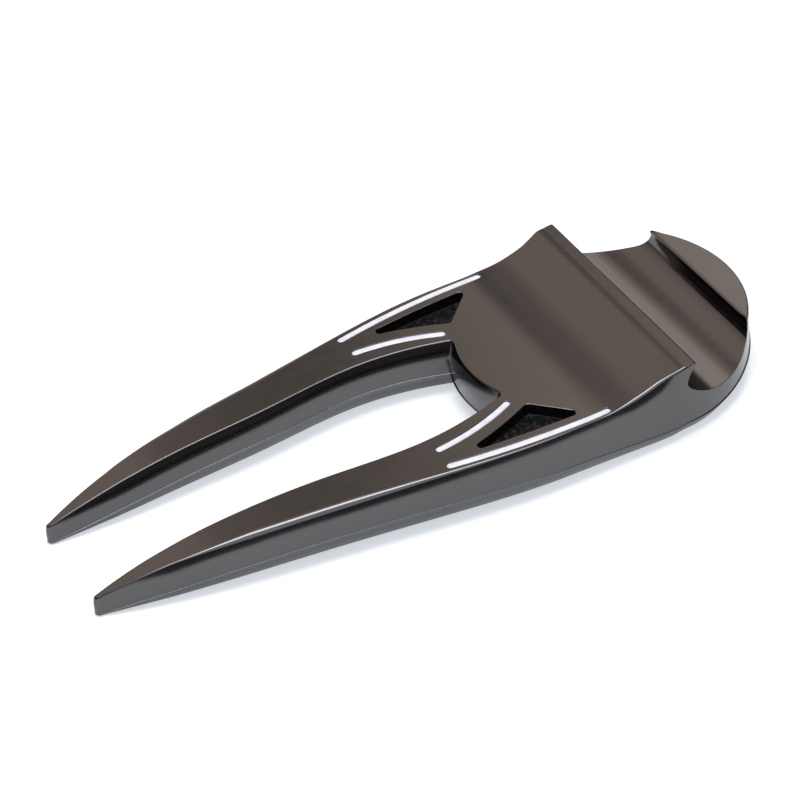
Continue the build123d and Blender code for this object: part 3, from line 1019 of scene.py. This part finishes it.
floor_mesh = bpy.data.meshes.new("floor")
square = [(x * FLOOR_HALF, y * FLOOR_HALF, 0) for x, y in ((-1, -1), (1, -1), (1, 1), (-1, 1))]
floor_mesh.from_pydata(square, [], [(0, 1, 2, 3)])
floor = bpy.data.objects.new("floor", floor_mesh)
bpy.context.scene.collection.objects.link(floor)
paper = Finish("floor_light_table", PAPER, roughness=0.9)
paper.shader.inputs["Specular IOR Level"].default_value = 0.0
paper.shader.inputs["Emission Color"].default_value = (*PAPER_GLOW, 1)
paper.shader.inputs["Emission Strength"].default_value = GLOW_STRENGTH
floor_mesh.materials.append(paper.material)
floor.location.z = -FLOOR_GAP


def softbox(name, centre, aim, width, depth, power):
    """A rectangular light at a place, aimed at another."""
    light = bpy.data.lights.new(name, "AREA")
    light.shape = "RECTANGLE"
    light.size, light.size_y = width, depth
    light.energy = power
    lamp = bpy.data.objects.new(name, light)
    lamp.location = centre
    lamp.rotation_euler = (Vector(aim) - Vector(centre)).to_track_quat("-Z", "Y").to_euler()
    bpy.context.scene.collection.objects.link(lamp)


softbox("overhead_softbox", SOFTBOX_CENTRE, (0, 0, 0), *SOFTBOX_SIZE, SOFTBOX_POWER)


# Radiance of the studio that the metal reflects, by its parts.
WALL = (0.99, 0.81, 0.7)
WALL_LIT = (1.6, 1.4, 1.26)
WALL_SHADE = (0.58, 0.48, 0.42)
WALL_DEEP_SHADE = (0.32, 0.28, 0.26)
SIDE_ROOM = (0.12, 0.1, 0.1)
HORIZON = (0.48, 0.4, 0.36)
CORNER = (0.05, 0.045, 0.045)
FRONT_ROOM = (0.1, 0.1, 0.11)
REFLECTOR = (1.1, 1.15, 1.25)


def studio_world():
    """A soft studio: a warm wall with darker stretches, a reflector above the front, a dim room."""
    world = bpy.data.worlds.new("studio")
    world.use_nodes = True
    nodes, links = world.node_tree.nodes, world.node_tree.links
    background = nodes["Background"]
    way = nodes.new("ShaderNodeTexCoord").outputs["Generated"]

    def facing(azimuth, elevation, start, end):
        """1 where the sky lies towards a direction in degrees, and 0 further off than start's cosine."""
        a, e = math.radians(azimuth), math.radians(elevation)
        dot = nodes.new("ShaderNodeVectorMath")
        dot.operation = "DOT_PRODUCT"
        dot.inputs[1].default_value = (math.cos(a) * math.cos(e), math.sin(a) * math.cos(e), math.sin(e))
        links.new(way, dot.inputs[0])
        spread = nodes.new("ShaderNodeMapRange")
        spread.interpolation_type = "SMOOTHSTEP"
        spread.inputs["From Min"].default_value = start
        spread.inputs["From Max"].default_value = end
        links.new(dot.outputs["Value"], spread.inputs["Value"])
        return spread.outputs["Result"]

    def over(share, below, above):
        """One colour laid over another by a share."""
        mixed = nodes.new("ShaderNodeMix")
        mixed.data_type = "RGBA"
        links.new(share, mixed.inputs["Factor"])
        for socket, colour in ((mixed.inputs[6], below), (mixed.inputs[7], above)):
            if isinstance(colour, tuple):
                socket.default_value = (*colour, 1)
            else:
                links.new(colour, socket)
        return mixed.outputs[2]

    # The lit part of the wall, its two shades, and where it gives way to a side room, the horizon
    # and a dark corner. Then the dim room in front, and the reflector above it.
    wall = over(facing(-30, 0, -0.025, 0.035), WALL, WALL_LIT)
    wall = over(facing(77, 43, 0.9885, 0.9975), wall, WALL_SHADE)
    wall = over(facing(71, 38.7, 0.9966, 0.9995), wall, WALL_DEEP_SHADE)
    wall = over(facing(-48, 0, 0.0, 0.06), wall, SIDE_ROOM)
    wall = over(facing(0, 90, 0.02, 0.28), HORIZON, wall)
    wall = over(facing(44, 3, 0.977, 0.989), wall, CORNER)
    sky = over(facing(66, 20, -0.1, 0.75), FRONT_ROOM, wall)
    sky = over(facing(-100, 62, 0.78, 0.92), sky, REFLECTOR)
    links.new(sky, background.inputs["Color"])
    background.inputs["Strength"].default_value = 1.0
    bpy.context.scene.world = world


studio_world()


def photo_camera():
    """A long lens looking down along the tool from the tips' side."""
    bearing, pitch, roll = -0.4182, 0.6819, math.radians(-6)
    distance, focal_length = 0.31812, 124.86
    target = Vector((-0.000237, 0.002207, 0.004651))
    level = Vector((math.cos(bearing), math.sin(bearing), 0))
    forward = Vector((-math.sin(bearing), math.cos(bearing), 0))
    ahead = forward * math.cos(pitch) + Vector((0, 0, -math.sin(pitch)))
    upward = level.cross(ahead)
    right = level * math.cos(roll) + upward * math.sin(roll)
    upward = upward * math.cos(roll) - level * math.sin(roll)
    lens = bpy.data.cameras.new("camera")
    lens.sensor_width = 36.0
    lens.lens = focal_length
    lens.clip_start, lens.clip_end = 0.01, 20
    camera = bpy.data.objects.new("camera", lens)
    axes = Matrix((right, upward, -ahead)).transposed().to_4x4()
    camera.matrix_world = Matrix.Translation(target - ahead * distance) @ axes
    bpy.context.scene.collection.objects.link(camera)
    bpy.context.scene.camera = camera


photo_camera()
bpy.context.scene.view_settings.view_transform = "Standard"
